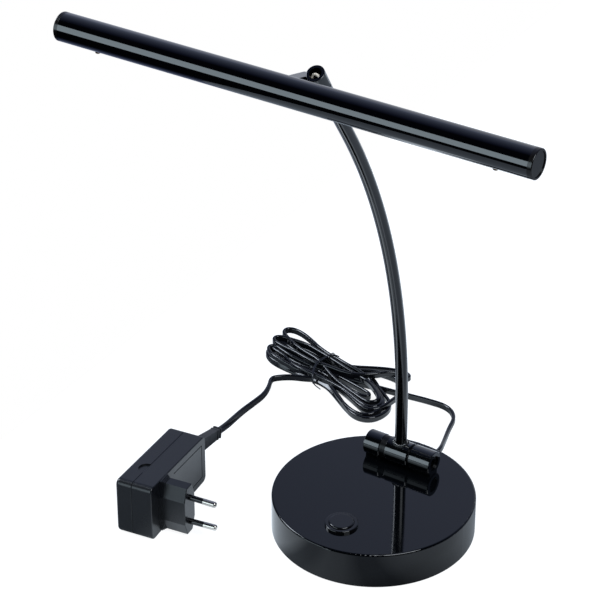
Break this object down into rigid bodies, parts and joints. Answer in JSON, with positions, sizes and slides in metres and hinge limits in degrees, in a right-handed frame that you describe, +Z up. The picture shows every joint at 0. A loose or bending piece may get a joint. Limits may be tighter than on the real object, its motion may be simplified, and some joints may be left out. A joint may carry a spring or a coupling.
{
  "type": "piano lamp",
  "caption": "Slim tube lamp head on a curved arm with friction hinges, on a round weighted base with a push switch, lead and plug-in mains adaptor.",
  "frame": {"origin": "centre of the base's underside, on the table", "axes": "+Z up, +X along the tube head, -Y towards the front, where the head overhangs"},
  "size_m": [0.3204, 0.2631, 0.3589],
  "materials": {
    "base_paint": "gloss black stoved enamel on drawn steel",
    "weight_iron": "as cast",
    "plate_paint": "black painted sheet",
    "plate_screw_steel": "zinc plated",
    "pad_rubber": "foam rubber",
    "grommet_rubber": "moulded",
    "bezel_plastic": "polished black ABS",
    "switch_nut_steel": "nickel plated",
    "switch_housing": "moulded nylon",
    "button_plastic": "polished black ABS",
    "barrel_paint": "gloss black enamel on turned steel",
    "washer_nylon": "black nylon",
    "bolt_steel": "black oxide",
    "foot_screw_steel": "zinc plated",
    "arm_paint": "gloss black enamel on steel tube",
    "wire_sheath": "PVC sheath",
    "pivot_chrome": "bright nickel",
    "neck_paint": "gloss black enamel on die casting",
    "neck_screw_steel": "zinc plated",
    "head_paint": "gloss black enamel on extruded aluminium",
    "cap_paint": "satin black enamel",
    "board_aluminium": "white solder mask",
    "chip_resin": "phosphor resin",
    "diffuser_acrylic": "opal acrylic",
    "tip_screw_brass": "browned brass",
    "adaptor_plastic": "fine spark-eroded texture",
    "pin_nickel": "nickel plated brass",
    "sleeve_plastic": "moulded nylon",
    "circuit_laminate": "glass laminate",
    "transformer_ferrite": "ferrite and tape",
    "lead_vinyl": "soft PVC",
    "tie_wire": "PVC-covered wire"
  },
  "bodies": {
    "base": {"base_cover": "base_paint", "base_weight": "weight_iron", "base_plate": "plate_paint", "base_plate_screws": "plate_screw_steel", "foot_pad": "pad_rubber", "cord_grommet": "grommet_rubber", "switch_bezel": "bezel_plastic", "switch_nut": "switch_nut_steel", "switch_body": "switch_housing", "hinge_left_barrel": "barrel_paint", "hinge_right_barrel": "barrel_paint", "hinge_washers": "washer_nylon", "hinge_bolt": "bolt_steel", "hinge_nut": "bolt_steel", "hinge_foot_screws": "foot_screw_steel", "adaptor_front_shell": "adaptor_plastic", "adaptor_rear_shell": "adaptor_plastic", "adaptor_plug_nose": "adaptor_plastic", "plug_pins": "pin_nickel", "pin_sleeves": "sleeve_plastic", "adaptor_circuit": "circuit_laminate", "adaptor_transformer": "transformer_ferrite", "adaptor_strain_relief": "lead_vinyl", "cord_base_run": "lead_vinyl", "cord_plug_run": "lead_vinyl", "cord_hank": "lead_vinyl", "cord_tie": "tie_wire"},
    "button": {"switch_button": "button_plastic"},
    "arm": {"hinge_middle_barrel": "barrel_paint", "arm_tube": "arm_paint", "arm_wires": "wire_sheath", "arm_knuckle": "arm_paint", "pivot_bolt": "pivot_chrome", "friction_washer": "washer_nylon"},
    "head": {"head_neck": "neck_paint", "neck_screws": "neck_screw_steel", "head_tube": "head_paint", "end_cap_left": "cap_paint", "end_cap_right": "cap_paint", "led_board": "board_aluminium", "led_chips": "chip_resin", "diffuser": "diffuser_acrylic", "diffuser_screws": "tip_screw_brass"}
  },
  "joints": [
    {"name": "arm_tilt", "type": "hinge", "parent": "base", "child": "arm", "pos_m": [0, 0.0384, 0.0336], "axis": [1, 0, 0], "range_deg": [-30, 45]},
    {"name": "head_tilt", "type": "hinge", "parent": "arm", "child": "head", "pos_m": [-0.012, -0.06019, 0.33958], "axis": [1, 0, 0], "range_deg": [-60, 75]},
    {"name": "button_press", "type": "slide", "parent": "base", "child": "button", "axis": [0, 0, -1], "range_m": [0, 0.0012], "stiffness_N_per_m": 500}
  ]
}
